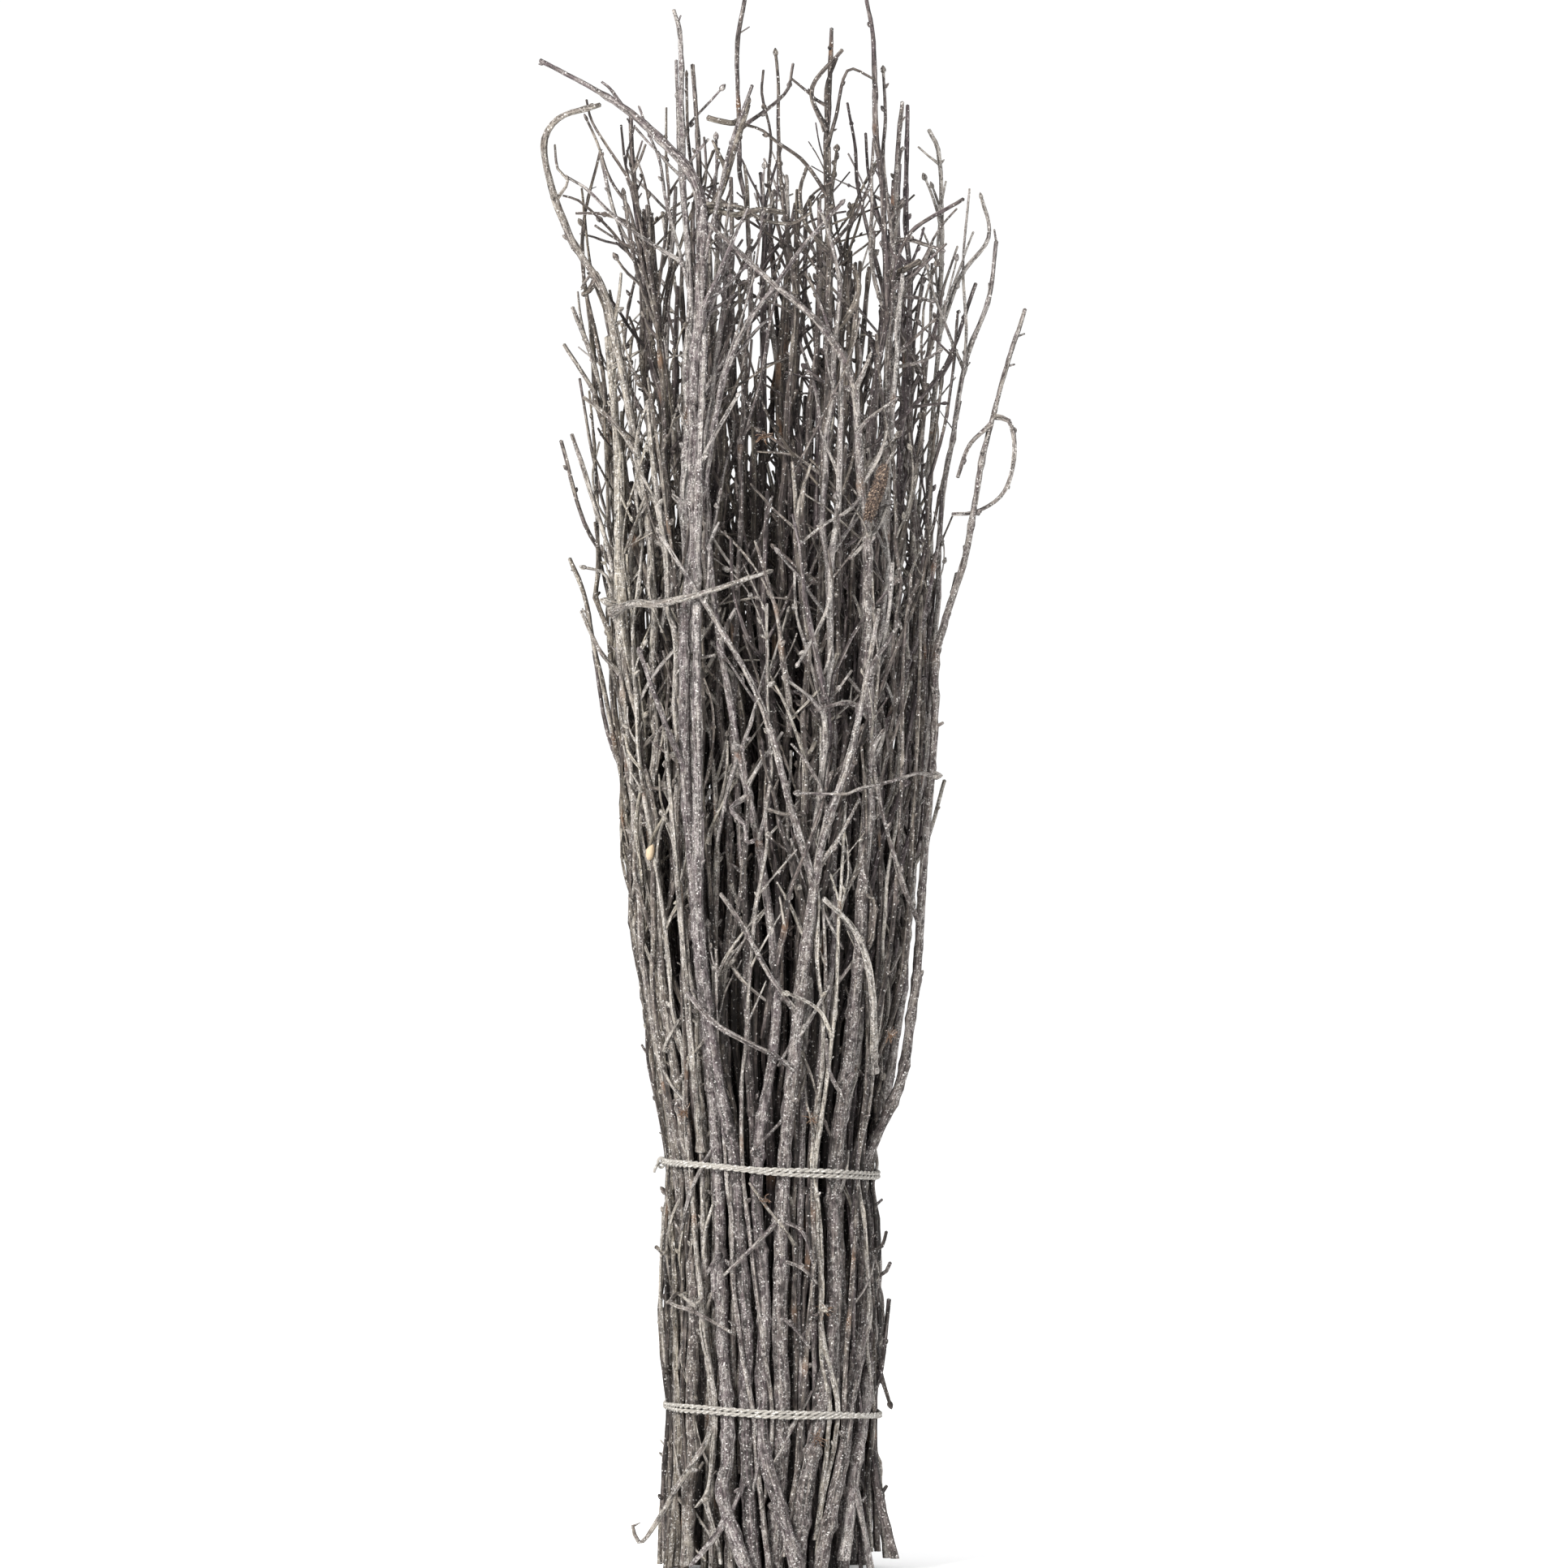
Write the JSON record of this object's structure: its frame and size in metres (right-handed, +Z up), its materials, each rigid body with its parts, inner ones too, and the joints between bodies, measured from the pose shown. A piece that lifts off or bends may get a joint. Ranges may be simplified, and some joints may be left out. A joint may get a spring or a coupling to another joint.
{
  "type": "bundle of twigs",
  "caption": "Upright bundle of cut, frosted twigs, flaring to loose forked tips and tied twice with doubled twine.",
  "frame": {"origin": "middle of the bundle's cut ends, on the surface it stands on", "axes": "+Z up along the twigs, -Y towards the bundle's front, +X to the front view's right"},
  "size_m": [0.187, 0.1533, 0.6021],
  "materials": {
    "bark": "rough grey bark dusted with pale frost",
    "inner_bark": "rough grey-brown bark dusted with pale frost",
    "twine": "pale grey twisted twine"
  },
  "bodies": {
    "root": {"twig_arched": "bark", "twig_hooked": "bark", "twig_looped": "bark", "twig_sweeping": "bark", "twig_centre": "bark", "twig_left_of_centre": "bark", "twig_outer_left": "bark", "twig_left_fork": "bark", "twig_left_bent": "bark", "twig_right_high": "bark", "twig_right_slim": "bark", "twig_tall_left": "bark", "twig_tall_middle": "bark", "twig_tall_right": "bark", "twig_thick_right": "bark", "twig_forked_top": "bark", "twig_hooked_foot": "bark", "twig_splayed_foot": "bark", "twig_19": "bark", "twig_20": "bark", "twig_21": "bark", "twig_22": "bark", "twig_23": "bark", "twig_24": "bark", "twig_25": "bark", "twig_26": "bark", "twig_27": "bark", "twig_28": "bark", "twig_29": "bark", "twig_30": "bark", "twig_31": "bark", "twig_32": "bark", "twig_33": "bark", "twig_34": "bark", "twig_35": "bark", "twig_36": "bark", "twig_37": "bark", "twig_38": "bark", "twig_39": "bark", "twig_40": "bark", "twig_41": "bark", "twig_42": "bark", "twig_43": "bark", "twig_44": "bark", "twig_45": "bark", "twig_46": "bark", "twig_47": "bark", "twig_48": "bark", "twig_49": "bark", "twig_50": "bark", "twig_51": "bark", "twig_52": "bark", "twig_53": "bark", "inner_twigs": "inner_bark", "tie_lower": "twine", "tie_upper": "twine"}
  },
  "joints": []
}
